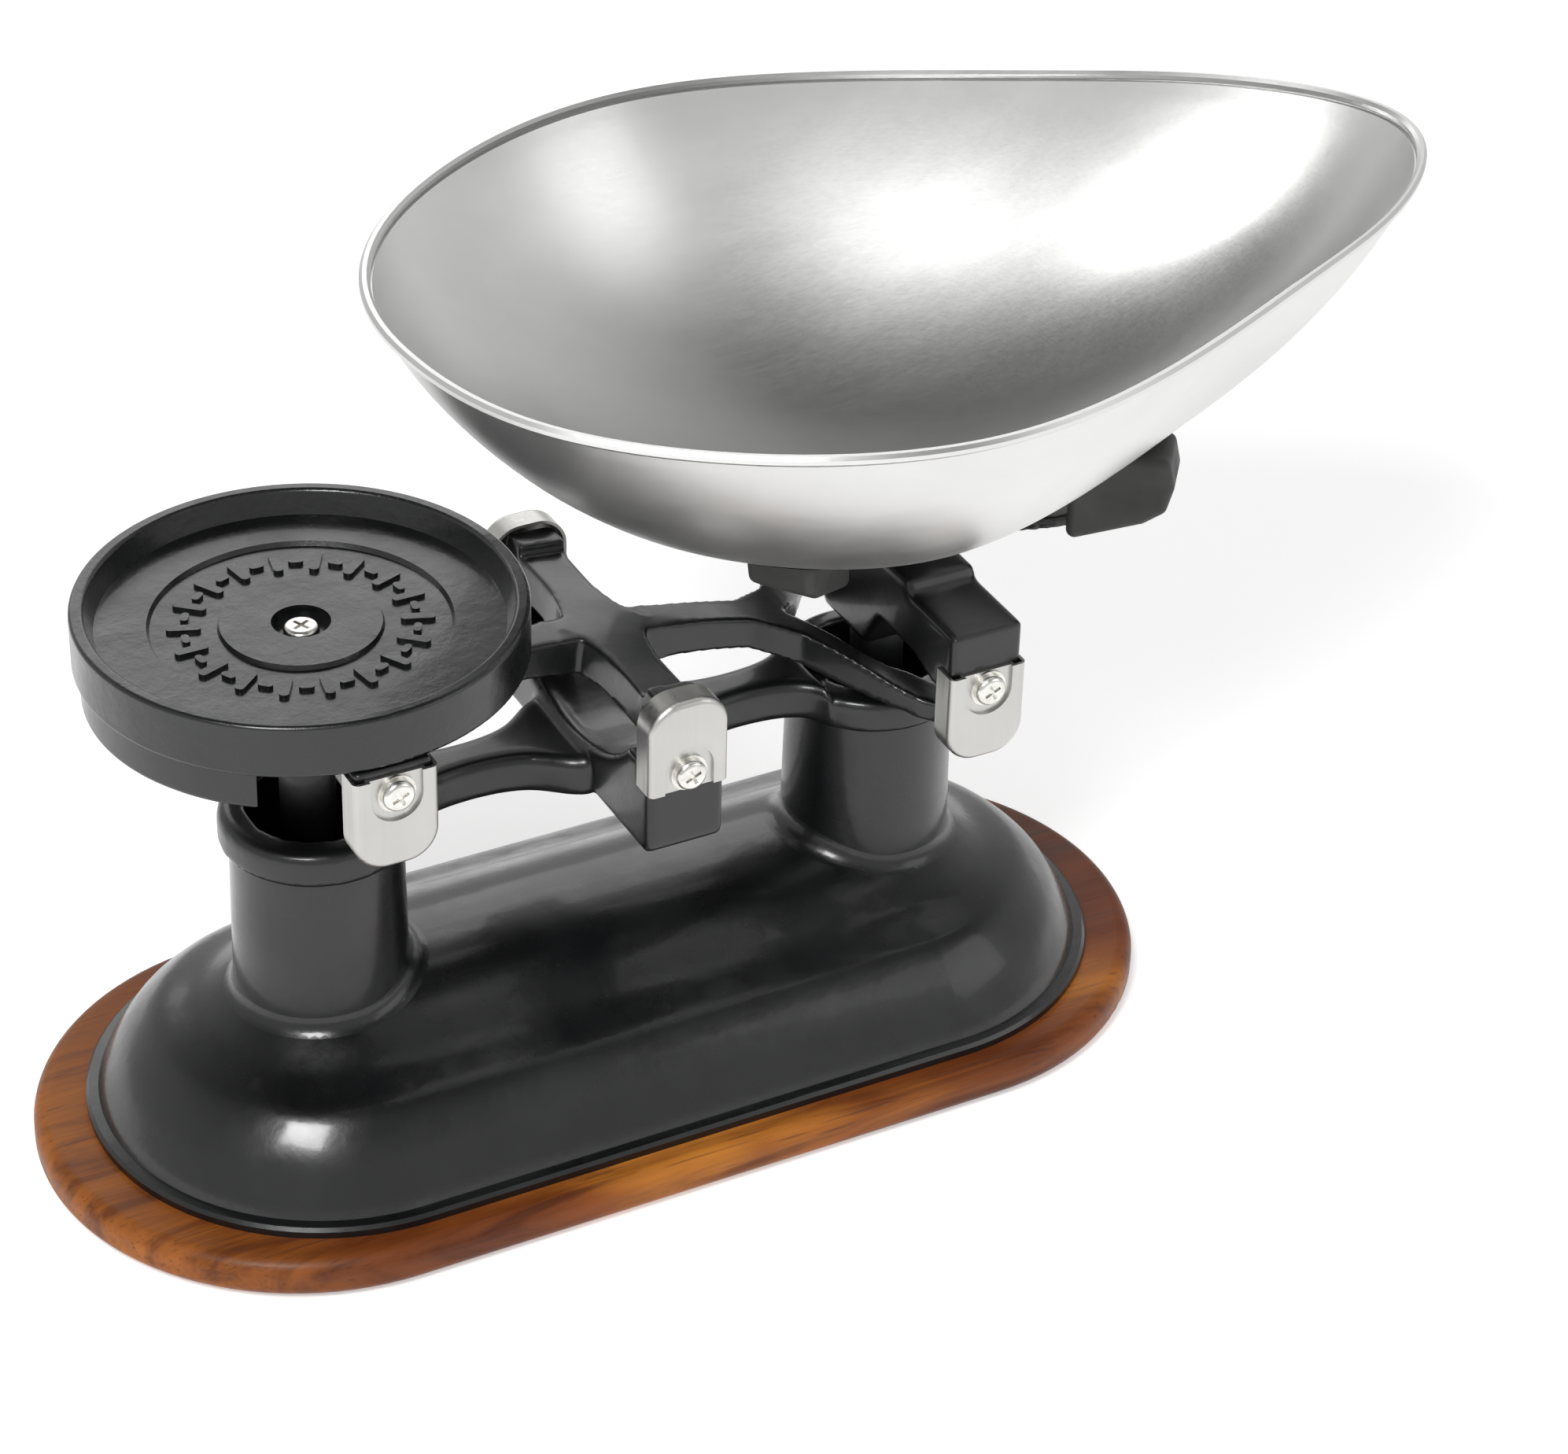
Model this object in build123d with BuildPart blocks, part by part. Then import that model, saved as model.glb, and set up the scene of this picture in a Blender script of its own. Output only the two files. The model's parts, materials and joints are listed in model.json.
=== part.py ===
from build123d import *
from math import sin, cos, radians, sqrt, hypot
import os

os.makedirs("parts", exist_ok=True)

# ---------------------------------------------------------------- driving sizes, mm and degrees
PLINTH_L, PLINTH_W, PLINTH_T = 347.0, 160.0, 12.0   # timber plinth
MAT_T, MAT_IN = 1.2, 6.0                            # rubber mat glued below it, set in from its edge
FOOT_R = 71.2                                       # half-width of the iron foot
BODY_X = 86.5                                       # centres of its two round ends
HUMP_Z = 57.6                                       # crown of the iron body between the towers
TOWER_X, TOWER_R, TOWER_BORE = 88.5, 24.6, 20.0     # tower axes, outside and bore radii
TOWER_TOP = 102.0
RING_R, RING_BORE, RING_T = 27.6, 19.5, 11.0        # bridge ring on top of each tower
BRIDGE_SCREW_X = 71.0
PIVOT_Z = 138.6                                     # height of the fulcrum knife edges
ARM = 91.0                                          # fulcrum knife to end knife, both sides
TILT = 5.8                                          # beam angle at rest, pan side down
LINK_Z = 35.6                                       # height of the check-link pivot
CENTRE_HALF = 54.4                                  # half-length of the cradle across the base
STOOL_HALF = 62.0                                   # half-length of each stool across the base
CAP_W, CAP_H, CAP_D, CAP_T = 24.4, 28.8, 8.5, 0.9   # pressed steel bearing cap
CAP_PRESS = 1.0                                     # depth of the pocket pressed in the cap
CAP_SCREW_UP = 5.5                                  # screw height above the cap's open edge
CENTRE_CAP_DOWN = 13.4                              # open edge of the centre caps below the fulcrum
END_CAP_UP = 13.4                                   # open edge of the end caps above the knives
LEG_R = 8.0
PIN_R = 2.5
PLATE_R = 62.5                                      # weights plate
PLATE_UP, PLATE_RIM_UP = 16.0, 32.0                 # foot and rim of its wall above the end knives
WEIGHT_TOP_UP = 17.5                                # stool top above the end knives, weights side
PAN_TOP_UP = 29.5                                   # stool top above the end knives, pan side
PAN_X, PAN_FLOOR_UP, PAN_DEPTH = 90.0, 26.0, 85.8    # lowest point of the pan above the fulcrum, and depth
PAN_FULLNESS = 0.94                                 # 1 would make its wall vertical at the rim
PAN_SHEET, BEAD_R = 1.0, 1.5
PAN_RIM = ((-60, 0), (-44, 55), (-10, 87.5), (60, 111.5), (125, 97), (185, 69.5), (234, 41.5), (261, 0))
PAN_STEPS = (0.16, 0.36, 0.56, 0.74, 0.88, 1.0)     # where the bowl is shaped, centre to rim
FIT = 0.05                                          # radial running clearance of the pivots

# ---------------------------------------------------------------- sizes that follow
PLINTH_TOP = MAT_T + PLINTH_T
KNIFE_X, KNIFE_RISE = ARM * cos(radians(TILT)), ARM * sin(radians(TILT))
WEIGHT_AT = Pos(-KNIFE_X, 0, PIVOT_Z + KNIFE_RISE)
PAN_AT = Pos(KNIFE_X, 0, PIVOT_Z - KNIFE_RISE)
BEAM_AT = Pos(0, 0, PIVOT_Z) * Rot(0, TILT, 0)
LINK_AT = Pos(0, 0, LINK_Z) * Rot(0, TILT, 0)
LEG_DROP = PIVOT_Z - LINK_Z
CENTRE_CAP_Z = PIVOT_Z - CENTRE_CAP_DOWN
PAN_FLOOR_Z = PIVOT_Z + PAN_FLOOR_UP
PAN_RIM_Z = PAN_FLOOR_Z + PAN_DEPTH
CENTRE_FACE = CENTRE_HALF + CAP_T + CAP_PRESS       # outside face of the centre caps
END_FACE = STOOL_HALF + CAP_T + CAP_PRESS
FLIP = Rot(0, 180, 0)
BACK = Rot(0, 0, 180)


# ---------------------------------------------------------------- repeated shapes
def pan_head_screw(head_r, head_h, shank_r, length):
    """Cross-head screw: head towards -Y of the origin, shank towards +Y."""
    with BuildPart() as screw:
        with BuildSketch(Plane.XZ):
            Circle(head_r)
        extrude(amount=head_h)
        fillet(screw.edges().sort_by(Axis.Y)[0], head_h * 0.6)
        with BuildSketch(Plane.XZ):
            Circle(shank_r)
        extrude(amount=-length)
        with BuildSketch(Plane.XZ.offset(head_h)):
            with Locations(Location((0, 0, 0), (0, 0, 25))):
                Rectangle(head_r * 1.1, head_r * 0.22)
                Rectangle(head_r * 0.22, head_r * 1.1)
        extrude(amount=-head_h * 0.55, mode=Mode.SUBTRACT)
    return screw.part


def washer(outer_r, inner_r, thickness):
    """Flat washer with its back on the XZ plane, thickness towards -Y."""
    with BuildPart() as ring:
        with BuildSketch(Plane.XZ):
            Circle(outer_r)
            Circle(inner_r, mode=Mode.SUBTRACT)
        extrude(amount=thickness)
    return ring.part


def cap_face(inset):
    """Outline of the cap: square below, well rounded above."""
    with BuildSketch(Plane.XZ) as face:
        with Locations((0, -2 * inset)):
            Rectangle(CAP_W - 2 * inset, CAP_H + inset, align=(Align.CENTER, Align.MIN))
        fillet(face.vertices().sort_by(Axis.Y)[-2:], 9.5 - inset)
    return face.sketch


def bearing_cap():
    """Pressed cap: outside face on the XZ plane, hollow towards +Y, open edge at the bottom."""
    with BuildPart() as cap:
        add(cap_face(0))
        extrude(amount=CAP_D, dir=(0, 1, 0))
        front = cap.edges().filter_by_position(Axis.Y, -0.01, 0.01)
        fillet([e for e in front if e.center().Z > 0.5], 2.0)
        add(cap_face(CAP_T).moved(Pos(0, CAP_T, 0)))
        extrude(amount=CAP_D, dir=(0, 1, 0), mode=Mode.SUBTRACT)
        with BuildSketch(Plane.XZ.offset(-CAP_T)):
            with Locations((0, -4)):
                SlotOverall(39, 17, rotation=90)
            with Locations((0, -25)):
                Rectangle(60, 50, mode=Mode.SUBTRACT)
        extrude(amount=-CAP_PRESS)
        with BuildSketch(Plane.XZ):
            with Locations((0, -4)):
                SlotOverall(36, 15, rotation=90)
        extrude(amount=-CAP_PRESS, mode=Mode.SUBTRACT)
        with BuildSketch(Plane.XZ):
            with Locations((0, CAP_SCREW_UP)):
                Circle(2.4)
        extrude(amount=-CAP_D, mode=Mode.SUBTRACT)
    return cap.part


def v_block(lift):
    """Bearing with its groove upwards, 8 long in Y from the XZ plane, groove bottom `lift` below 0."""
    with BuildPart() as block:
        with BuildSketch(Plane.XZ):
            Polygon((-7, -5.5), (7, -5.5), (7, 3), (5.3, 3), (0, -lift), (-5.3, 3), (-7, 3), align=None)
        extrude(amount=-7.6)
    return block.part


def knife():
    """Knife with its edge down on the Y axis, 7.6 long from the XZ plane."""
    with BuildPart() as wedge:
        with BuildSketch(Plane.XZ):
            Polygon((0, 0), (2.9, 4.8), (2.9, 8), (-2.9, 8), (-2.9, 4.8), align=None)
        extrude(amount=-7.6)
    return wedge.part


def group(*shapes):
    return Compound(children=list(shapes))


# ---------------------------------------------------------------- plinth
PLINTH_SCREWS = [(x, y) for x in (-48, 48) for y in (-44, 44)]
SCREW_POCKET = 5.0                                  # depth of the pockets for heads and washers
WASHER_T = 1.2
with BuildPart() as plinth:
    with BuildSketch(Plane.XY.offset(MAT_T)):
        SlotOverall(PLINTH_L, PLINTH_W)
    extrude(amount=PLINTH_T)
    fillet(plinth.edges().group_by(Axis.Z)[-1], 5.0)
    fillet(plinth.edges().group_by(Axis.Z)[0], 4.0)
    with Locations(*[Pos(x, y, MAT_T) for x, y in PLINTH_SCREWS]):
        Cylinder(6.5, SCREW_POCKET, align=(Align.CENTER, Align.CENTER, Align.MIN), mode=Mode.SUBTRACT)
        Cylinder(2.7, 60.0, mode=Mode.SUBTRACT)

with BuildPart() as plinth_mat:
    with BuildSketch():
        SlotOverall(PLINTH_L - 2 * MAT_IN, PLINTH_W - 2 * MAT_IN)
    extrude(amount=MAT_T)

# ---------------------------------------------------------------- iron base
BODY = ((0, HUMP_Z), (12, HUMP_Z - 0.7), (22, HUMP_Z - 3.4), (31, HUMP_Z - 8), (38, HUMP_Z - 12.4),
        (45, HUMP_Z - 15.1), (50, HUMP_Z - 17.2), (55, HUMP_Z - 21.3), (60.8, HUMP_Z - 28),
        (65, HUMP_Z - 35.2), (67.6, HUMP_Z - 41))
HOLLOW = ((0, HUMP_Z - 5), (20, HUMP_Z - 7.5), (31, HUMP_Z - 13), (40, HUMP_Z - 17.5), (48, HUMP_Z - 21),
          (54, HUMP_Z - 26), (58.5, HUMP_Z - 32), (62, PLINTH_TOP - 1))


def stadium_of(points, lip):
    """Half profile swept round the stadium outline of the body."""
    with BuildSketch(Plane.XZ) as half:
        with BuildLine():
            curve = Spline(*points, tangents=((1, 0), (0.35, -1)))
            end = curve @ 1
            if lip:
                Polyline(end, (FOOT_R - 0.9, end.Y - 0.3), (FOOT_R, end.Y - 1.3),
                         (FOOT_R, PLINTH_TOP), (0, PLINTH_TOP), curve @ 0)
            else:
                Polyline(end, (0, end.Y), curve @ 0)
        make_face()
    face = half.sketch
    with BuildPart() as solid:
        add(face.moved(Pos(BODY_X, 0, 0) * Rot(0, 0, -90)))
        revolve(axis=Axis((BODY_X, 0, 0), (0, 0, 1)), revolution_arc=180)
        mirror(about=Plane.YZ)
        both = face.moved(Rot(0, 0, 90)) + face.moved(Rot(0, 0, -90))
        add(both.moved(Pos(-BODY_X, 0, 0)))
        extrude(dir=(1, 0, 0), amount=2 * BODY_X)
    return solid.part


with BuildPart() as base_casting:
    add(stadium_of(BODY, True))
    for side in (-1, 1):
        with Locations(Pos(side * TOWER_X, 0, HUMP_Z - 14)):
            Cone(TOWER_R + 0.9, TOWER_R, TOWER_TOP - HUMP_Z + 14,
                 align=(Align.CENTER, Align.CENTER, Align.MIN))
    seams = [e for e in base_casting.edges() if abs(e.center().Z - HUMP_Z + 2) < 5 and e.length > 40
             and abs(hypot(abs(e.position_at(0.3).X) - TOWER_X, e.position_at(0.3).Y) - TOWER_R) < 1.5]
    fillet(seams, 6.0)
    add(stadium_of(HOLLOW, False), mode=Mode.SUBTRACT)
    with Locations(*[Pos(side * TOWER_X, 0, LINK_Z) for side in (-1, 1)]):
        Cylinder(TOWER_BORE, 120, align=(Align.CENTER, Align.CENTER, Align.MIN), mode=Mode.SUBTRACT)
    for x, y in PLINTH_SCREWS:
        with Locations(Pos(x, y, PLINTH_TOP)):
            Cylinder(5.5, 22, align=(Align.CENTER, Align.CENTER, Align.MIN))
    for side in (-1, 1):
        with Locations(Pos(side * BRIDGE_SCREW_X, 0, TOWER_TOP)):
            Cylinder(5.2, 26, align=(Align.CENTER, Align.CENTER, Align.MAX))
        with Locations(Pos(0, side * 9.5, LINK_Z - 8)):
            Box(15, 5, HUMP_Z - LINK_Z + 5, align=(Align.CENTER, Align.CENTER, Align.MIN))
    with Locations(*[Pos(x, y, PLINTH_TOP) for x, y in PLINTH_SCREWS]):
        Cylinder(2.5, 15, align=(Align.CENTER, Align.CENTER, Align.MIN), mode=Mode.SUBTRACT)
    with Locations(*[Pos(side * BRIDGE_SCREW_X, 0, TOWER_TOP) for side in (-1, 1)]):
        Cylinder(2.5, 20, align=(Align.CENTER, Align.CENTER, Align.MAX), mode=Mode.SUBTRACT)
    with Locations(Pos(0, 0, LINK_Z)):
        Cylinder(PIN_R + 0.02, 40, rotation=(90, 0, 0), mode=Mode.SUBTRACT)

plinth_screws = group(*[Pos(x, y, MAT_T + SCREW_POCKET - WASHER_T) * Rot(90, 0, 0)
                        * pan_head_screw(4.6, 2.4, 2.4, 19) for x, y in PLINTH_SCREWS])
plinth_washers = group(*[Pos(x, y, MAT_T + SCREW_POCKET) * Rot(90, 0, 0) * washer(6.0, 2.6, WASHER_T)
                         for x, y in PLINTH_SCREWS])

# ---------------------------------------------------------------- bridge on the towers
BLOCK_Z = PIVOT_Z - 5.5                             # seat of the fulcrum bearings
CRADLE_Z = PIVOT_Z - 34.0                           # underside of the cradle
ARM_PLAN = ((11, 19.5), (18, 16.5), (26, 10.5), (36, 7.6), (48, 7.4), (58, 9.5), (66, 17))
with BuildPart() as bridge_arm:
    with BuildSketch(Plane.XY.offset(TOWER_TOP + 0.4)):
        with BuildLine():
            upper = Spline(*ARM_PLAN)
            lower = Spline(*[(x, -y) for x, y in ARM_PLAN])
            Line(upper @ 0, lower @ 0)
            Line(upper @ 1, lower @ 1)
        make_face()
    extrude(amount=13.2)
    fillet([e for e in bridge_arm.edges() if e.length > 50], 3.5)

with BuildPart() as top_bridge:
    for side in (-1, 1):
        with Locations(Pos(side * TOWER_X, 0, TOWER_TOP)):
            Cylinder(RING_R, RING_T, align=(Align.CENTER, Align.CENTER, Align.MIN))
    fillet(top_bridge.edges().group_by(Axis.Z)[-1], 3.5)
    fillet(top_bridge.edges().group_by(Axis.Z)[0], 1.2)
    add(bridge_arm.part)
    add(BACK * bridge_arm.part)
    with BuildSketch(Plane.YZ) as cradle:
        with BuildLine():
            Polyline((-CENTRE_HALF, PIVOT_Z + 1), (-CENTRE_HALF, CRADLE_Z), (CENTRE_HALF, CRADLE_Z),
                     (CENTRE_HALF, PIVOT_Z + 1), (CENTRE_HALF - 3.9, PIVOT_Z + 1),
                     (CENTRE_HALF - 3.9, BLOCK_Z), (41, BLOCK_Z))
            Spline((41, BLOCK_Z), (28, PIVOT_Z - 15.5), (0, PIVOT_Z - 21.5), (-28, PIVOT_Z - 15.5),
                   (-41, BLOCK_Z))
            Polyline((-41, BLOCK_Z), (-CENTRE_HALF + 3.9, BLOCK_Z), (-CENTRE_HALF + 3.9, PIVOT_Z + 1),
                     (-CENTRE_HALF, PIVOT_Z + 1))
        make_face()
        fillet(cradle.vertices().group_by(Axis.Y)[0], 3.0)
    extrude(amount=11.8, both=True)
    for side in (-1, 1):
        with Locations(Pos(side * TOWER_X, 0, TOWER_TOP - 1)):
            Cylinder(RING_BORE, 30, align=(Align.CENTER, Align.CENTER, Align.MIN), mode=Mode.SUBTRACT)
        with Locations(Pos(side * BRIDGE_SCREW_X, 0, TOWER_TOP)):
            Cylinder(6.2, RING_T, align=(Align.CENTER, Align.CENTER, Align.MIN))
            Cylinder(2.6, 60, mode=Mode.SUBTRACT)
        for end in (-1, 1):
            with Locations(Pos(side * 14.9, end * (CENTRE_HALF - 2), CENTRE_CAP_Z)):
                Box(8, 10, 30, align=(Align.CENTER, Align.CENTER, Align.MIN), mode=Mode.SUBTRACT)
        with Locations(Pos(0, side * CENTRE_HALF, CENTRE_CAP_Z + CAP_SCREW_UP)):
            Cylinder(2.1, 22, rotation=(90, 0, 0), mode=Mode.SUBTRACT)
    with BuildSketch(Plane.YZ) as dish:
        with BuildLine():
            Spline((-33, PIVOT_Z - 8.5), (-24, PIVOT_Z - 16.4), (0, PIVOT_Z - 22.8), (24, PIVOT_Z - 16.4),
                   (33, PIVOT_Z - 8.5))
            Line((33, PIVOT_Z - 8.5), (-33, PIVOT_Z - 8.5))
        make_face()
    extrude(amount=8.4, both=True, mode=Mode.SUBTRACT)

bridge_screws = group(*[Pos(side * BRIDGE_SCREW_X, 0, TOWER_TOP + RING_T) * Rot(-90, 0, 0)
                        * pan_head_screw(4.4, 2.6, 2.4, 26) for side in (-1, 1)])

fulcrum_bearing_front = Pos(0, -CENTRE_HALF + 4.1, PIVOT_Z) * v_block(FIT)
fulcrum_bearing_rear = Pos(0, CENTRE_HALF - 4.1, PIVOT_Z) * BACK * v_block(FIT)
centre_cap_front = Pos(0, -CENTRE_FACE, CENTRE_CAP_Z) * bearing_cap()
centre_cap_rear = Pos(0, CENTRE_FACE, CENTRE_CAP_Z) * BACK * bearing_cap()


def cap_fixings(face_y, z, turned):
    """The two screws and two washers of a pair of caps, front and back."""
    screws, washers = [], []
    for spin in (Rot(0, 0, 0), BACK):
        seat = spin * Pos(0, -face_y + CAP_PRESS, z) * (FLIP if turned else Rot(0, 0, 0))
        washers.append(seat * washer(5.5, 2.3, 0.8))
        screws.append(seat * Pos(0, -0.8, 0) * pan_head_screw(4.6, 2.6, 2.05, 9.5))
    return group(*screws), group(*washers)


centre_cap_screws, centre_cap_washers = cap_fixings(CENTRE_FACE, CENTRE_CAP_Z + CAP_SCREW_UP, False)

link_pin = group(Pos(0, 14, LINK_Z) * Cylinder(PIN_R, 28, rotation=(90, 0, 0),
                                              align=(Align.CENTER, Align.CENTER, Align.MIN)))
link_clips = group(*[Pos(0, side * 12.9, LINK_Z) * washer(4.6, PIN_R + 0.02, 0.8) for side in (-1, 1)])

# ---------------------------------------------------------------- beam, drawn level about its fulcrum
ARM_TOP = ((0, 9), (28, 7.8), (53, 4.2), (70, -0.6), (81, -4.4), (99, -4.4))
ARM_BASE = ((99, -10.4), (82, -11), (70, -9.8), (50, -5.2), (30, -2.8), (0, -2.8))
TINE = ((40, -3), (58, -14), (70, -31), (80, -46), (83.5, -50), (83.5, -57.4), (98.5, -57.4), (98.5, -49),
        (94.5, -45), (84, -30), (72, -14), (57, 2.5))
with BuildPart() as beam_level:
    with BuildSketch() as plan:
        for side in (-1, 1):
            with BuildLine():
                Polyline((0, 7), (side * 30, 6), (side * 55, 6.5), (side * 55, -6.5), (side * 30, -6),
                         (0, -7), (0, 7))
            make_face()
            for end in (-1, 1):
                with BuildLine():
                    Polyline(*[(side * x, end * y) for x, y in TINE], (side * 40, end * -3))
                make_face()
    extrude(amount=20, both=True)
    with BuildSketch(Plane.XZ) as elevation:
        for side in (-1, 1):
            with BuildLine():
                top = Spline(*[(side * x, z) for x, z in ARM_TOP[:5]], tangents=((side, 0), (side, -0.1)))
                Line(top @ 1, (side * 99, -4.4))
                low = Spline(*[(side * x, z) for x, z in ARM_BASE[1:]], tangents=((-side, 0.1), (-side, 0)))
                Polyline((side * 99, -4.4), (side * 99, -10.4), low @ 0)
                Line(low @ 1, (0, 9))
            make_face()
    extrude(amount=70, both=True, mode=Mode.INTERSECT)
    with BuildSketch(Plane.XY.offset(-2.8)):
        with BuildLine():
            right = Spline((14, 0), (9.5, 8), (7, 22), (7.2, 41))
            left = Spline((-14, 0), (-9.5, 8), (-7, 22), (-7.2, 41))
            Line(right @ 1, left @ 1)
            Line(right @ 0, left @ 0)
        make_face()
        mirror(about=Plane.XZ)
    extrude(amount=11.8)
    for end in (-1, 1):
        with Locations(Pos(0, end * 45.4, 4.6)):
            Box(15, 9.2, 7.8, align=(Align.CENTER, Align.CENTER, Align.MIN))
        with Locations(Pos(0, end * 40.2, 0)):
            Box(15, 3, 9, align=(Align.CENTER, Align.CENTER, Align.MIN))
    for end in (-1, 1):
        with Locations(Pos(0, end * 46.2, 4.6)):
            Box(5.9, 8.1, 3.45, align=(Align.CENTER, Align.CENTER, Align.MIN), mode=Mode.SUBTRACT)
        for side in (-1, 1):
            with Locations(Pos(side * ARM, end * 53.4, -4.4)):
                Box(5.9, 8.2, 3.65, align=(Align.CENTER, Align.CENTER, Align.MAX), mode=Mode.SUBTRACT)

beam = BEAM_AT * beam_level.part
fulcrum_knives = group(*[BEAM_AT * Pos(0, end * 50, 0) * (BACK if end > 0 else Rot(0, 0, 0)) * knife()
                         for end in (-1, 1)])
end_knives = {}
for side in (-1, 1):
    end_knives[side] = group(*[BEAM_AT * Pos(side * ARM, end * 57.2, 0)
                               * (BACK if end > 0 else Rot(0, 0, 0)) * FLIP * knife() for end in (-1, 1)])

# ---------------------------------------------------------------- check link
with BuildPart() as link_level:
    Box(2 * ARM, 8, 9)
    with Locations(*[Pos(side * ARM, 0, 0) for side in (-1, 0, 1)]):
        Cylinder(6.4, 8, rotation=(90, 0, 0))
    Cylinder(PIN_R + FIT, 20, rotation=(90, 0, 0), mode=Mode.SUBTRACT)
    with Locations(*[Pos(side * ARM, 0, 0) for side in (-1, 1)]):
        Cylinder(PIN_R + 0.5, 20, rotation=(90, 0, 0), mode=Mode.SUBTRACT)
check_link = LINK_AT * link_level.part


# ---------------------------------------------------------------- stools, drawn about their knife line
def stool(top, hub_top):
    """Transverse bar with a leg; top is the height of the bar, hub_top of its middle."""
    with BuildPart() as frame:
        with BuildSketch(Plane.YZ) as side_view:
            with BuildLine():
                Polyline((0, hub_top), (34, hub_top), (36, top), (STOOL_HALF, top), (STOOL_HALF, -3.2),
                         (STOOL_HALF - 3.9, -3.2), (STOOL_HALF - 3.9, 5.5), (49.5, 5.5), (40, 9),
                         (20, 9), (12.5, -4), (0, -4), (0, hub_top))
            make_face()
            mirror(about=Plane.YZ)
        extrude(amount=11.4, both=True)
        with Locations(Pos(0, 0, 0)):
            Cylinder(LEG_R, LEG_DROP + 6.5, align=(Align.CENTER, Align.CENTER, Align.MAX))
        for end in (-1, 1):
            for side in (-1, 1):
                with Locations(Pos(side * 14.9, end * STOOL_HALF, END_CAP_UP)):
                    Box(8, 2 * CAP_D - 2.2, 30, align=(Align.CENTER, Align.CENTER, Align.MAX),
                        mode=Mode.SUBTRACT)
            with Locations(Pos(0, end * STOOL_HALF, END_CAP_UP - CAP_SCREW_UP)):
                Cylinder(2.1, 22, rotation=(90, 0, 0), mode=Mode.SUBTRACT)
        with Locations(Pos(0, 0, -LEG_DROP + 9)):
            Box(30, 8.8, 60, align=(Align.CENTER, Align.CENTER, Align.MAX), mode=Mode.SUBTRACT)
        with Locations(Pos(0, 0, -LEG_DROP)):
            Cylinder(PIN_R + 0.02, 40, rotation=(90, 0, 0), mode=Mode.SUBTRACT)
        with Locations(Pos(0, 0, hub_top)):
            Cylinder(2.6, 40, mode=Mode.SUBTRACT)
    return frame.part


def end_bearings():
    return [Pos(0, -STOOL_HALF + 4.1, 0) * FLIP * v_block(FIT),
            Pos(0, STOOL_HALF - 4.1, 0) * BACK * FLIP * v_block(FIT)]


weight_stool = WEIGHT_AT * stool(WEIGHT_TOP_UP - 1.9, WEIGHT_TOP_UP)
pan_stool = PAN_AT * stool(PAN_TOP_UP - 3.5, PAN_TOP_UP)
weight_bearings = group(*[WEIGHT_AT * b for b in end_bearings()])
pan_bearings = group(*[PAN_AT * b for b in end_bearings()])
weight_cap_front = WEIGHT_AT * Pos(0, -END_FACE, END_CAP_UP) * FLIP * bearing_cap()
weight_cap_rear = WEIGHT_AT * Pos(0, END_FACE, END_CAP_UP) * BACK * FLIP * bearing_cap()
pan_cap_front = PAN_AT * Pos(0, -END_FACE, END_CAP_UP) * FLIP * bearing_cap()
pan_cap_rear = PAN_AT * Pos(0, END_FACE, END_CAP_UP) * BACK * FLIP * bearing_cap()
end_screws, end_washers = cap_fixings(END_FACE, END_CAP_UP - CAP_SCREW_UP, True)
leg_pin = Pos(0, 7.6, -LEG_DROP) * Cylinder(PIN_R, 15.2, rotation=(90, 0, 0),
                                            align=(Align.CENTER, Align.CENTER, Align.MIN))

# ---------------------------------------------------------------- weights plate
WALL, FLOOR_UP, FLOOR_T = 4.0, 25.2, 4.0
WEIGHT_T = 11.6                                     # half-moon weight under the plate
ORNAMENTS = 18                                      # raised bars round the sunk ring of the plate
WEIGHT_SCREWS = [(-47, y) for y in (-22, 22)]
with BuildPart() as plate_shape:
    with BuildSketch(Plane.XZ) as section:
        with BuildLine():
            Polyline((0, FLOOR_UP), (22.2, FLOOR_UP), (22.8, FLOOR_UP - 1.3), (41.0, FLOOR_UP - 1.3),
                     (41.8, FLOOR_UP), (56.0, FLOOR_UP), (58.6, PLATE_RIM_UP), (PLATE_R, PLATE_RIM_UP),
                     (PLATE_R, PLATE_UP), (PLATE_R - WALL, PLATE_UP),
                     (PLATE_R - WALL - 1, FLOOR_UP - FLOOR_T), (24, FLOOR_UP - FLOOR_T),
                     (24, WEIGHT_TOP_UP), (0, WEIGHT_TOP_UP), (0, FLOOR_UP))
        make_face()
        fillet(section.vertices().group_by(Axis.Y)[-1], 1.2)
        fillet(section.vertices().group_by(Axis.Y)[0].sort_by(Axis.X)[-1], 1.2)
    revolve(axis=Axis.Z)
    with BuildSketch(Plane.XY.offset(FLOOR_UP - 2)):
        with PolarLocations(31.8, ORNAMENTS):
            RectangleRounded(9.5, 2.8, 1.2)
        with PolarLocations(31.8, ORNAMENTS, start_angle=180 / ORNAMENTS):
            SlotOverall(4.2, 2.2, rotation=90)
    extrude(amount=1.8)
    with Locations(Pos(0, 0, FLOOR_UP)):
        Cylinder(8.2, 6.8, mode=Mode.SUBTRACT)
        Cylinder(2.7, 40, mode=Mode.SUBTRACT)
    with Locations(*[Pos(x, y, PLATE_UP) for x, y in WEIGHT_SCREWS]):
        Cylinder(5.0, FLOOR_UP - FLOOR_T - PLATE_UP, align=(Align.CENTER, Align.CENTER, Align.MIN))
        Cylinder(2.1, 7.0, align=(Align.CENTER, Align.CENTER, Align.MIN), mode=Mode.SUBTRACT)
weight_plate = WEIGHT_AT * plate_shape.part
plate_screw = WEIGHT_AT * Pos(0, 0, FLOOR_UP - 3.4) * Rot(-90, 0, 0) * pan_head_screw(5.0, 2.2, 2.5, 20)

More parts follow.
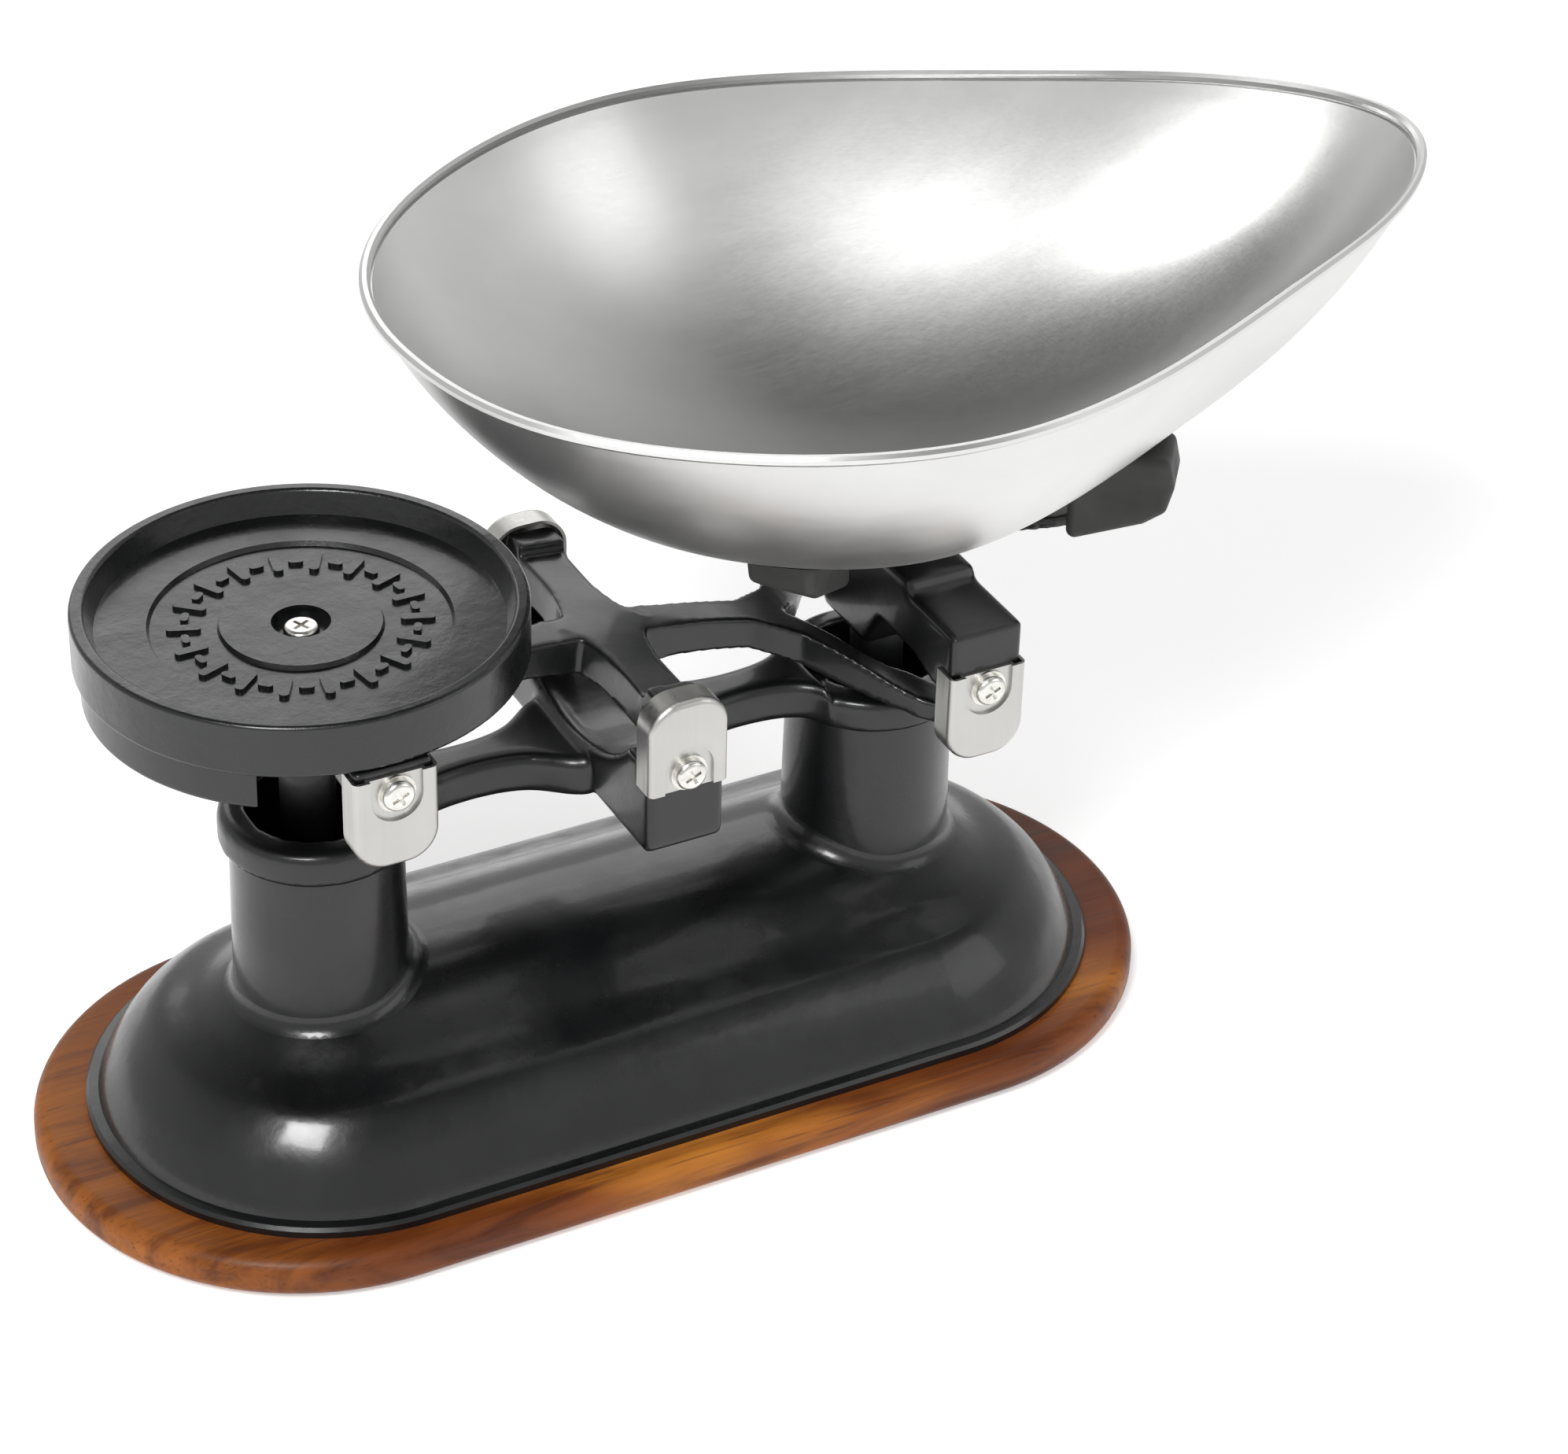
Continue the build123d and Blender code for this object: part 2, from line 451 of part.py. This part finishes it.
with BuildPart() as counterweight_shape:
    with Locations(Pos(0, 0, PLATE_UP - WEIGHT_T)):
        Cylinder(PLATE_R - 2, WEIGHT_T, align=(Align.CENTER, Align.CENTER, Align.MIN))
    with Locations(Pos(-34, 0, 0)):
        Box(200, 200, 200, align=(Align.MIN, Align.CENTER, Align.CENTER), mode=Mode.SUBTRACT)
    fillet(counterweight_shape.edges().group_by(Axis.Z)[0], 1.5)
    with Locations(*[Pos(x, y, PLATE_UP) for x, y in WEIGHT_SCREWS]):
        Cylinder(2.3, 60, mode=Mode.SUBTRACT)
    with Locations(*[Pos(x, y, PLATE_UP - WEIGHT_T) for x, y in WEIGHT_SCREWS]):
        Cylinder(5.0, 6.0, mode=Mode.SUBTRACT)
counterweight = WEIGHT_AT * counterweight_shape.part
counterweight_screws = group(*[WEIGHT_AT * Pos(x, y, PLATE_UP - WEIGHT_T + 3.0) * Rot(90, 0, 0)
                               * pan_head_screw(4.4, 2.4, 2.05, 14) for x, y in WEIGHT_SCREWS])

# ---------------------------------------------------------------- pan and its holder
rim_xy = [(x, y) for x, y in PAN_RIM] + [(x, -y) for x, y in PAN_RIM[-2:0:-1]]


def pan_height(share):
    """Height of the outside of the pan at a share of the way from its lowest point to its rim."""
    rise = 1 - sqrt(1 - (PAN_FULLNESS * share) ** 2)
    return PAN_FLOOR_Z + (PAN_RIM_Z - PAN_FLOOR_Z) * rise / (1 - sqrt(1 - PAN_FULLNESS ** 2))


def pan_section(share, inset=0.0):
    """Level outline of the pan, like its rim but smaller, drawn in by the inset."""
    points = []
    for x, y in rim_xy:
        away = hypot(x - PAN_X, y)
        reach = share * away - inset
        points.append((PAN_X + (x - PAN_X) / away * reach, y / away * reach))
    with BuildSketch(Plane.XY.offset(pan_height(share) + inset)) as flat:
        with BuildLine():
            Spline(*points, periodic=True)
        make_face()
    return flat.sketch


def rim_outline(outset):
    """Outline of the rim moved outwards, one bead radius below the rim."""
    points = []
    for x, y in rim_xy:
        away = hypot(x - PAN_X, y)
        points.append((PAN_X + (x - PAN_X) * (1 + outset / away), y * (1 + outset / away)))
    with BuildSketch(Plane.XY.offset(PAN_RIM_Z - BEAD_R)) as flat:
        with BuildLine():
            Spline(*points, periodic=True)
        make_face()
    return flat.sketch


with BuildPart() as pan_outside:
    for share in PAN_STEPS:
        add(pan_section(share))
    loft()

with BuildPart() as pan_inside:
    for share in PAN_STEPS:
        add(pan_section(share, PAN_SHEET))
    loft()

with BuildPart() as pan:
    add(pan_outside.part)
    add(pan_inside.part, mode=Mode.SUBTRACT)
    with Locations(Pos(0, 0, PAN_RIM_Z - BEAD_R)):
        Box(900, 900, 50, align=(Align.CENTER, Align.CENTER, Align.MIN), mode=Mode.SUBTRACT)

with BuildPart() as pan_edge:
    add(rim_outline(BEAD_R))
    extrude(amount=2 * BEAD_R, dir=(0, 0, 1))
    add(rim_outline(-BEAD_R - 0.1))
    extrude(amount=2 * BEAD_R, dir=(0, 0, 1), mode=Mode.SUBTRACT)
    chamfer(pan_edge.edges(), 0.9)

HOLDER_Z = PIVOT_Z - KNIFE_RISE + PAN_TOP_UP
HOLDER_T = 3.2
PAD_GAP = 0.3                                       # between the pads and the pan resting on them
ARMS = ((38, 84), (142, 76), (218, 76), (322, 84))  # angle and reach, longer towards the spout


def arm_plane(turn):
    """Upright plane through the holder's middle, X outwards along an arm and Y up."""
    out = (cos(radians(turn)), sin(radians(turn)), 0)
    return Plane(origin=(KNIFE_X, 0, HOLDER_Z), x_dir=out, z_dir=(out[1], -out[0], 0))


with BuildPart() as pan_holder:
    with Locations(Pos(KNIFE_X, 0, HOLDER_Z)):
        Cylinder(15, HOLDER_T, align=(Align.CENTER, Align.CENTER, Align.MIN))
    for turn, reach in ARMS:
        with BuildSketch(arm_plane(turn)):
            with BuildLine():
                Polyline((6, 0), (26, 0), (reach - 32, 6.4), (reach - 8, 15.4), (reach - 9.5, 18.6),
                         (reach - 33, 9.6), (25, HOLDER_T), (6, HOLDER_T), (6, 0))
            make_face()
        extrude(amount=6, both=True)
    with Locations(Pos(KNIFE_X, 0, HOLDER_Z + HOLDER_T)):
        Cylinder(2.7, 40, mode=Mode.SUBTRACT)
        Cylinder(5.4, 5.4, mode=Mode.SUBTRACT)
holder_screw = (Pos(KNIFE_X, 0, HOLDER_Z + HOLDER_T - 2.7) * Rot(-90, 0, 0)
                * pan_head_screw(4.8, 2.4, 2.5, 17))

with BuildPart() as pad_room:
    add(pan_outside.part.moved(Pos(0, 0, -PAD_GAP)))
pads = []
for turn, reach in ARMS:
    with BuildPart() as pad:
        with BuildSketch(arm_plane(turn)) as boot:
            with BuildLine():
                Polyline((reach - 30, 4.4), (reach - 8, 12.6), (reach - 2, 17), (reach, 25), (reach - 2, 34),
                         (reach - 30, 34), (reach - 30, 4.4))
            make_face()
            fillet(boot.vertices().sort_by(Axis.X)[-4:], 3)
        extrude(amount=10, both=True)
        fillet([e for e in pad.edges() if e.center().Z < HOLDER_Z + 36 and e.length > 1], 2.5)
        add(pad_room.part, mode=Mode.SUBTRACT)
        add(pan_holder.part, mode=Mode.SUBTRACT)
    pads.append(pad.part)
pan_pads = group(*pads)

# ---------------------------------------------------------------- files
PIECES = dict(
    plinth=plinth.part, plinth_mat=plinth_mat.part, plinth_screws=plinth_screws,
    plinth_washers=plinth_washers, base_casting=base_casting.part, top_bridge=top_bridge.part,
    bridge_screws=bridge_screws, fulcrum_bearing_front=fulcrum_bearing_front,
    fulcrum_bearing_rear=fulcrum_bearing_rear, centre_cap_front=centre_cap_front,
    centre_cap_rear=centre_cap_rear, centre_cap_screws=centre_cap_screws,
    centre_cap_washers=centre_cap_washers, link_pin=link_pin, link_clips=link_clips,
    beam=beam, fulcrum_knives=fulcrum_knives, weight_end_knives=end_knives[-1],
    pan_end_knives=end_knives[1], check_link=check_link,
    weight_stool=weight_stool, weight_bearings=weight_bearings, weight_cap_front=weight_cap_front,
    weight_cap_rear=weight_cap_rear, weight_cap_screws=WEIGHT_AT * end_screws,
    weight_cap_washers=WEIGHT_AT * end_washers, weight_leg_pin=WEIGHT_AT * leg_pin,
    weight_plate=weight_plate, plate_screw=plate_screw, counterweight=counterweight,
    counterweight_screws=counterweight_screws,
    pan_stool=pan_stool, pan_bearings=pan_bearings, pan_cap_front=pan_cap_front,
    pan_cap_rear=pan_cap_rear, pan_cap_screws=PAN_AT * end_screws,
    pan_cap_washers=PAN_AT * end_washers, pan_leg_pin=PAN_AT * leg_pin,
    pan_holder=pan_holder.part, holder_screw=holder_screw, pan_pads=pan_pads, pan=pan.part,
    pan_edge=pan_edge.part)
for label, shape in PIECES.items():
    shape.label = label
    export_step(shape, f"parts/{label}.step")
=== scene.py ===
import bpy
import json
from math import radians, sin, cos
from mathutils import Vector, Matrix


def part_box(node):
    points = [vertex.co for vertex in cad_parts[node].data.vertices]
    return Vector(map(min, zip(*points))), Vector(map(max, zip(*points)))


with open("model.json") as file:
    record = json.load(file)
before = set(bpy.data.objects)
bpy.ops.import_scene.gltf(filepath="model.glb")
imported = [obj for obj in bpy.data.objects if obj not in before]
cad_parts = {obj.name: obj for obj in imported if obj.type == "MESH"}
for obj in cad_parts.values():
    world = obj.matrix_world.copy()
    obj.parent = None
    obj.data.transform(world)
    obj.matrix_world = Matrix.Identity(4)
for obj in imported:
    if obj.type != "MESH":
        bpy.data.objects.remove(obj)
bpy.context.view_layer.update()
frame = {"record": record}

scene = bpy.context.scene
FLOOR_SIDE = 12.8                                   # side of the paper floor, metres


# ---------------------------------------------------------------- node helpers
class Mat:
    """A material with its nodes made by short calls."""

    def __init__(self, name):
        self.mat = bpy.data.materials.new(name)
        self.mat.use_nodes = True
        self.nodes = self.mat.node_tree.nodes
        self.links = self.mat.node_tree.links
        self.shader = self.nodes["Principled BSDF"]
        self.place = self.nodes.new("ShaderNodeTexCoord").outputs["Object"]

    def set(self, **sockets):
        for name, value in sockets.items():
            self.shader.inputs[name.replace("_", " ")].default_value = value

    def link(self, source, target):
        self.links.new(source, target)

    def mapping(self, scale=(1, 1, 1), turn=(0, 0, 0), shift=(0, 0, 0)):
        node = self.nodes.new("ShaderNodeMapping")
        node.inputs["Scale"].default_value = scale
        node.inputs["Rotation"].default_value = turn
        node.inputs["Location"].default_value = shift
        self.link(self.place, node.inputs["Vector"])
        return node.outputs["Vector"]

    def split(self, vector):
        node = self.nodes.new("ShaderNodeSeparateXYZ")
        self.link(vector, node.inputs["Vector"])
        return node.outputs

    def join(self, **axes):
        node = self.nodes.new("ShaderNodeCombineXYZ")
        for axis, source in axes.items():
            self.link(source, node.inputs[axis])
        return node.outputs["Vector"]

    def length(self, vector):
        node = self.nodes.new("ShaderNodeVectorMath")
        node.operation = "LENGTH"
        self.link(vector, node.inputs[0])
        return node.outputs["Value"]

    def noise(self, scale, vector=None, detail=4.0, rough=0.5, twist=0.0):
        node = self.nodes.new("ShaderNodeTexNoise")
        node.inputs["Scale"].default_value = scale
        node.inputs["Detail"].default_value = detail
        node.inputs["Roughness"].default_value = rough
        node.inputs["Distortion"].default_value = twist
        self.link(vector or self.place, node.inputs["Vector"])
        return node.outputs["Fac"]

    def ramp(self, value, *stops):
        node = self.nodes.new("ShaderNodeValToRGB")
        ramp = node.color_ramp
        while len(ramp.elements) < len(stops):
            ramp.elements.new(0.5)
        for element, (at, colour) in zip(ramp.elements, stops):
            element.position, element.color = at, (*colour, 1)
        self.link(value, node.inputs["Fac"])
        return node.outputs["Color"]

    def mix(self, factor, a, b, kind="MIX"):
        """Colour mix of a and b, each a node's output or a plain value."""
        node = self.nodes.new("ShaderNodeMix")
        node.data_type, node.blend_type = "RGBA", kind
        for index, value in ((0, factor), (6, a), (7, b)):
            if hasattr(value, "links"):
                self.link(value, node.inputs[index])
            else:
                node.inputs[index].default_value = value if index == 0 else (*value, 1)
        return node.outputs[2]

    def range(self, value, low, high, start, stop):
        """Carry the value's range from start to stop over to low to high."""
        node = self.nodes.new("ShaderNodeMapRange")
        node.inputs["From Min"].default_value = start
        node.inputs["From Max"].default_value = stop
        node.inputs["To Min"].default_value = low
        node.inputs["To Max"].default_value = high
        self.link(value, node.inputs["Value"])
        return node.outputs["Result"]

    def bump(self, *layers):
        """Each layer is a height, a strength and a depth in metres."""
        normal = None
        for height, strength, depth in layers:
            node = self.nodes.new("ShaderNodeBump")
            node.inputs["Strength"].default_value = strength
            node.inputs["Distance"].default_value = depth
            self.link(height, node.inputs["Height"])
            if normal:
                self.link(normal, node.inputs["Normal"])
            normal = node.outputs["Normal"]
        self.link(normal, self.shader.inputs["Normal"])

    def feed(self, socket, source):
        self.link(source, self.shader.inputs[socket])


# ---------------------------------------------------------------- materials
def enamel(name, lumps, grain, rough):
    """Black stoved enamel over cast iron: lumps are the casting's waves, grain its fine skin."""
    m = Mat(name)
    m.set(Specular_IOR_Level=0.45, Coat_Weight=0.3, Coat_Roughness=0.1)
    patches = m.noise(34, detail=3)
    black, worn = (0.003, 0.0032, 0.0035), (0.006, 0.0064, 0.007)
    m.feed("Base Color", m.ramp(patches, (0.3, black), (0.75, worn)))
    m.feed("Roughness", m.range(m.noise(60, detail=5), rough - 0.05, rough + 0.07, 0.3, 0.7))
    m.bump((m.noise(55, detail=2), lumps, 0.0012), (m.noise(420, detail=5, rough=0.6), grain, 0.0004))
    return m.mat


def brushed(name, colour, rough, stretch):
    """Brushed steel whose fine lines run along the axis that `stretch` shrinks."""
    m = Mat(name)
    m.set(Metallic=1.0)
    lines = m.noise(900, m.mapping(scale=stretch), detail=6, rough=0.62)
    cloud = m.noise(14, detail=4, rough=0.6)
    dark = tuple(c * 0.86 for c in colour)
    m.feed("Base Color", m.mix(m.range(cloud, 0, 1, 0.35, 0.7), colour, dark))
    m.feed("Roughness", m.range(lines, rough - 0.06, rough + 0.1, 0.3, 0.7))
    m.bump((lines, 0.25, 0.00006))
    return m.mat


def pan_steel(name):
    """Spun and brushed sheet: lines run round the bowl and cloudy marks lie across it."""
    m = Mat(name)
    m.set(Metallic=1.0)
    low, high = (Vector(v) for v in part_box("pan"))
    middle = (low + high) / 2
    centred = m.split(m.mapping(shift=(-middle.x, -middle.y, 0)))
    away = m.length(m.join(X=centred["X"], Y=centred["Y"]))
    turned = m.noise(1500, m.join(X=away, Z=centred["Z"]), detail=5, rough=0.65)
    along = m.noise(1100, m.mapping(scale=(0.03, 1, 1)), detail=6, rough=0.65)
    lines = m.mix(0.45, along, turned)
    cloud = m.noise(9, m.mapping(scale=(0.6, 1.1, 1)), detail=5, rough=0.62, twist=0.4)
    m.feed("Base Color", m.ramp(cloud, (0.25, (0.60, 0.60, 0.595)), (0.75, (0.74, 0.74, 0.73))))
    m.feed("Roughness", m.range(m.mix(0.6, lines, cloud), 0.27, 0.45, 0.3, 0.7))
    m.bump((lines, 0.16, 0.00005))
    return m.mat


def timber(name):
    """Oiled acacia: staves along X, strong tone changes, fine grain and open pores."""
    m = Mat(name)
    m.set(Specular_IOR_Level=0.2, Coat_Weight=0.06, Coat_Roughness=0.25)
    tone_place = m.mapping(scale=(0.9, 2.6, 1.4), turn=(0, 0, radians(9)), shift=(0.31, 0.12, 0.0))
    ring_place = m.mapping(scale=(0.28, 2.4, 1.6), turn=(0, 0, radians(7)))
    fibre_place = m.mapping(scale=(0.03, 1, 1), turn=(0, 0, radians(6)))
    pore_place = m.mapping(scale=(0.035, 1, 1), turn=(0, 0, radians(6)))
    tone = m.noise(4.5, tone_place, detail=3, rough=0.5, twist=0.9)
    rings = m.noise(26, ring_place, detail=5, rough=0.62, twist=1.6)
    fibre = m.noise(300, fibre_place, detail=5, rough=0.7)
    pores = m.noise(900, pore_place, detail=2, rough=0.5)
    body = m.ramp(tone, (0.28, (0.19, 0.045, 0.006)), (0.45, (0.10, 0.021, 0.003)),
                  (0.58, (0.20, 0.055, 0.008)), (0.72, (0.44, 0.165, 0.022)))
    golden_end = m.range(m.split(m.place)["X"], 0.6, 0.0, -0.17, -0.10)
    body = m.mix(golden_end, body, (0.42, 0.145, 0.022))
    dark = m.ramp(rings, (0.36, (0.42, 0.34, 0.3)), (0.5, (0.92, 0.88, 0.84)), (0.66, (1.12, 1.08, 1.04)))
    body = m.mix(1.0, body, dark, "MULTIPLY")
    body = m.mix(m.range(fibre, 0.0, 0.5, 0.42, 0.72), body, (0.14, 0.042, 0.014))
    body = m.mix(m.range(pores, 0.0, 0.6, 0.60, 0.72), body, (0.06, 0.018, 0.008))
    m.feed("Base Color", body)
    m.feed("Roughness", m.range(rings, 0.4, 0.56, 0.3, 0.7))
    m.bump((pores, 0.25, 0.0002), (fibre, 0.15, 0.00015))
    return m.mat


def rubber(name):
    """Matte black rubber with a faint moulded skin."""
    m = Mat(name)
    m.set(Specular_IOR_Level=0.35)
    m.feed("Base Color", m.ramp(m.noise(40), (0.35, (0.028, 0.028, 0.027)), (0.7, (0.05, 0.05, 0.048))))
    m.feed("Roughness", m.range(m.noise(120), 0.5, 0.68, 0.3, 0.7))
    m.bump((m.noise(700, detail=4), 0.2, 0.0002))
    return m.mat


def plated(name):
    """Bright plated screw steel with small marks."""
    m = Mat(name)
    m.set(Metallic=1.0)
    m.feed("Base Color", m.ramp(m.noise(300), (0.3, (0.62, 0.60, 0.56)), (0.7, (0.80, 0.79, 0.76))))
    m.feed("Roughness", m.range(m.noise(500), 0.16, 0.32, 0.3, 0.7))
    m.bump((m.noise(900), 0.12, 0.0001))
    return m.mat


LINES_UP = (1, 1, 0.03)
LINES_ALONG = (0.03, 1, 1)
body_black = enamel("black_enamel", 0.16, 0.10, 0.27)
plate_black = enamel("plate_enamel", 0.45, 0.35, 0.26)
frame_black = enamel("frame_enamel", 0.22, 0.16, 0.33)
steel_cap = brushed("brushed_cap", (0.53, 0.525, 0.505), 0.33, LINES_UP)
steel_hard = brushed("ground_steel", (0.45, 0.45, 0.46), 0.3, LINES_ALONG)
steel_pan = pan_steel("pan_steel")
steel_screw = plated("plated_steel")
wood = timber("oiled_timber")
black_rubber = rubber("black_rubber")

SLOT_LOOK = {"timber": wood, "rubber": black_rubber, "black_enamel": frame_black, "stainless": steel_pan,
             "brushed_cap": steel_cap, "hard_steel": steel_hard, "plain_steel": steel_hard,
             "bright_fixing": steel_screw}
NODE_LOOK = {"base_casting": body_black, "weight_plate": plate_black, "counterweight": body_black}

for row in frame["record"]["subparts"]:
    name = row["node"]
    obj = bpy.data.objects[name]
    look = NODE_LOOK.get(name, SLOT_LOOK[row["material_slot"]])
    if not obj.material_slots:
        obj.data.materials.append(look)
    for slot in obj.material_slots:
        slot.material = look

# Cast iron has no sharp corners: each casting is remade in voxels of this size, in metres, and smoothed.
SOFTEN_FACTOR, SOFTEN_TIMES = 0.5, 7
VOXEL = {"beam": 0.0008, "top_bridge": 0.001, "weight_stool": 0.001, "pan_stool": 0.001, "pan_holder": 0.0009}
for name, size in VOXEL.items():
    remesh = bpy.data.objects[name].modifiers.new("cast", "REMESH")
    remesh.mode, remesh.voxel_size, remesh.use_smooth_shade = "VOXEL", size, True
    soften = bpy.data.objects[name].modifiers.new("soften", "SMOOTH")
    soften.factor, soften.iterations = SOFTEN_FACTOR, SOFTEN_TIMES


# ---------------------------------------------------------------- floor and light
def lit_paper(name, colour, strength):
    """Matte paper that glows a little, so the floor stays white away from the lamps."""
    mat = bpy.data.materials.new(name)
    mat.use_nodes = True
    shader = mat.node_tree.nodes["Principled BSDF"]
    shader.inputs["Base Color"].default_value = (*colour, 1)
    shader.inputs["Roughness"].default_value = 0.9
    shader.inputs["Emission Color"].default_value = (*colour, 1)
    shader.inputs["Emission Strength"].default_value = strength
    return mat


bpy.ops.mesh.primitive_plane_add(size=FLOOR_SIDE, location=(0, 0, 0))
floor = bpy.context.object
floor.name = "paper_floor"
floor.data.materials.append(lit_paper("white_paper", (0.93, 0.93, 0.93), 0.42))

SKY = ((0.5, 1.25), (0.92, 0.22))                   # brightness at the horizon and overhead
SKY_STRENGTH = 0.55
world = scene.world or bpy.data.worlds.new("studio")
scene.world = world
world.use_nodes = True
backdrop = world.node_tree.nodes["Background"]
sky = world.node_tree.nodes.new("ShaderNodeTexCoord")
height = world.node_tree.nodes.new("ShaderNodeSeparateXYZ")
shade = world.node_tree.nodes.new("ShaderNodeValToRGB")
for element, (at, grey) in zip(shade.color_ramp.elements, SKY):
    element.position, element.color = at, (grey, grey, grey, 1)
world.node_tree.links.new(sky.outputs["Generated"], height.inputs["Vector"])
world.node_tree.links.new(height.outputs["Z"], shade.inputs["Fac"])
world.node_tree.links.new(shade.outputs["Color"], backdrop.inputs["Color"])
backdrop.inputs["Strength"].default_value = SKY_STRENGTH


def area_light(name, at, look_at, size, power):
    """Rectangular lamp that faces a point, with its size in metres and its power in watts."""
    data = bpy.data.lights.new(name, "AREA")
    data.shape, data.size, data.size_y = "RECTANGLE", size[0], size[1]
    data.energy = power
    obj = bpy.data.objects.new(name, data)
    scene.collection.objects.link(obj)
    obj.location = at
    obj.rotation_euler = (Vector(look_at) - Vector(at)).to_track_quat("-Z", "Y").to_euler()


area_light("key", (-0.75, -0.75, 1.35), (0, 0, 0.1), (0.5, 0.5), 19)
area_light("fill", (1.1, -1.0, 0.9), (0.05, 0, 0.1), (0.9, 0.9), 3)
area_light("rim", (0.4, 1.3, 0.9), (0.05, 0, 0.15), (1.4, 0.6), 4)

# ---------------------------------------------------------------- camera
CAMERA_AT = Vector((-0.4656, -0.9523, 0.8235))
TURN, DOWN, ROLL = 0.4968, 0.5871, 0.0272           # radians
FOCAL, SENSOR = 101.95, 36.0                        # mm
SHIFT = 0.018, -0.010                               # share of the picture's width
lens = bpy.data.cameras.new("camera")
lens.lens, lens.sensor_width, lens.sensor_fit = FOCAL, SENSOR, "HORIZONTAL"
lens.shift_x, lens.shift_y = SHIFT
camera = bpy.data.objects.new("camera", lens)
scene.collection.objects.link(camera)
back = Vector((-sin(TURN) * cos(DOWN), -cos(TURN) * cos(DOWN), sin(DOWN)))
right = Vector((0, 0, 1)).cross(back).normalized()
up = back.cross(right)
right, up = cos(ROLL) * right + sin(ROLL) * up, -sin(ROLL) * right + cos(ROLL) * up
axes = Matrix((right, up, back)).transposed().to_4x4()
camera.matrix_world = Matrix.Translation(CAMERA_AT) @ axes
scene.camera = camera
scene.view_settings.view_transform = "Standard"
scene.view_settings.look = "None"
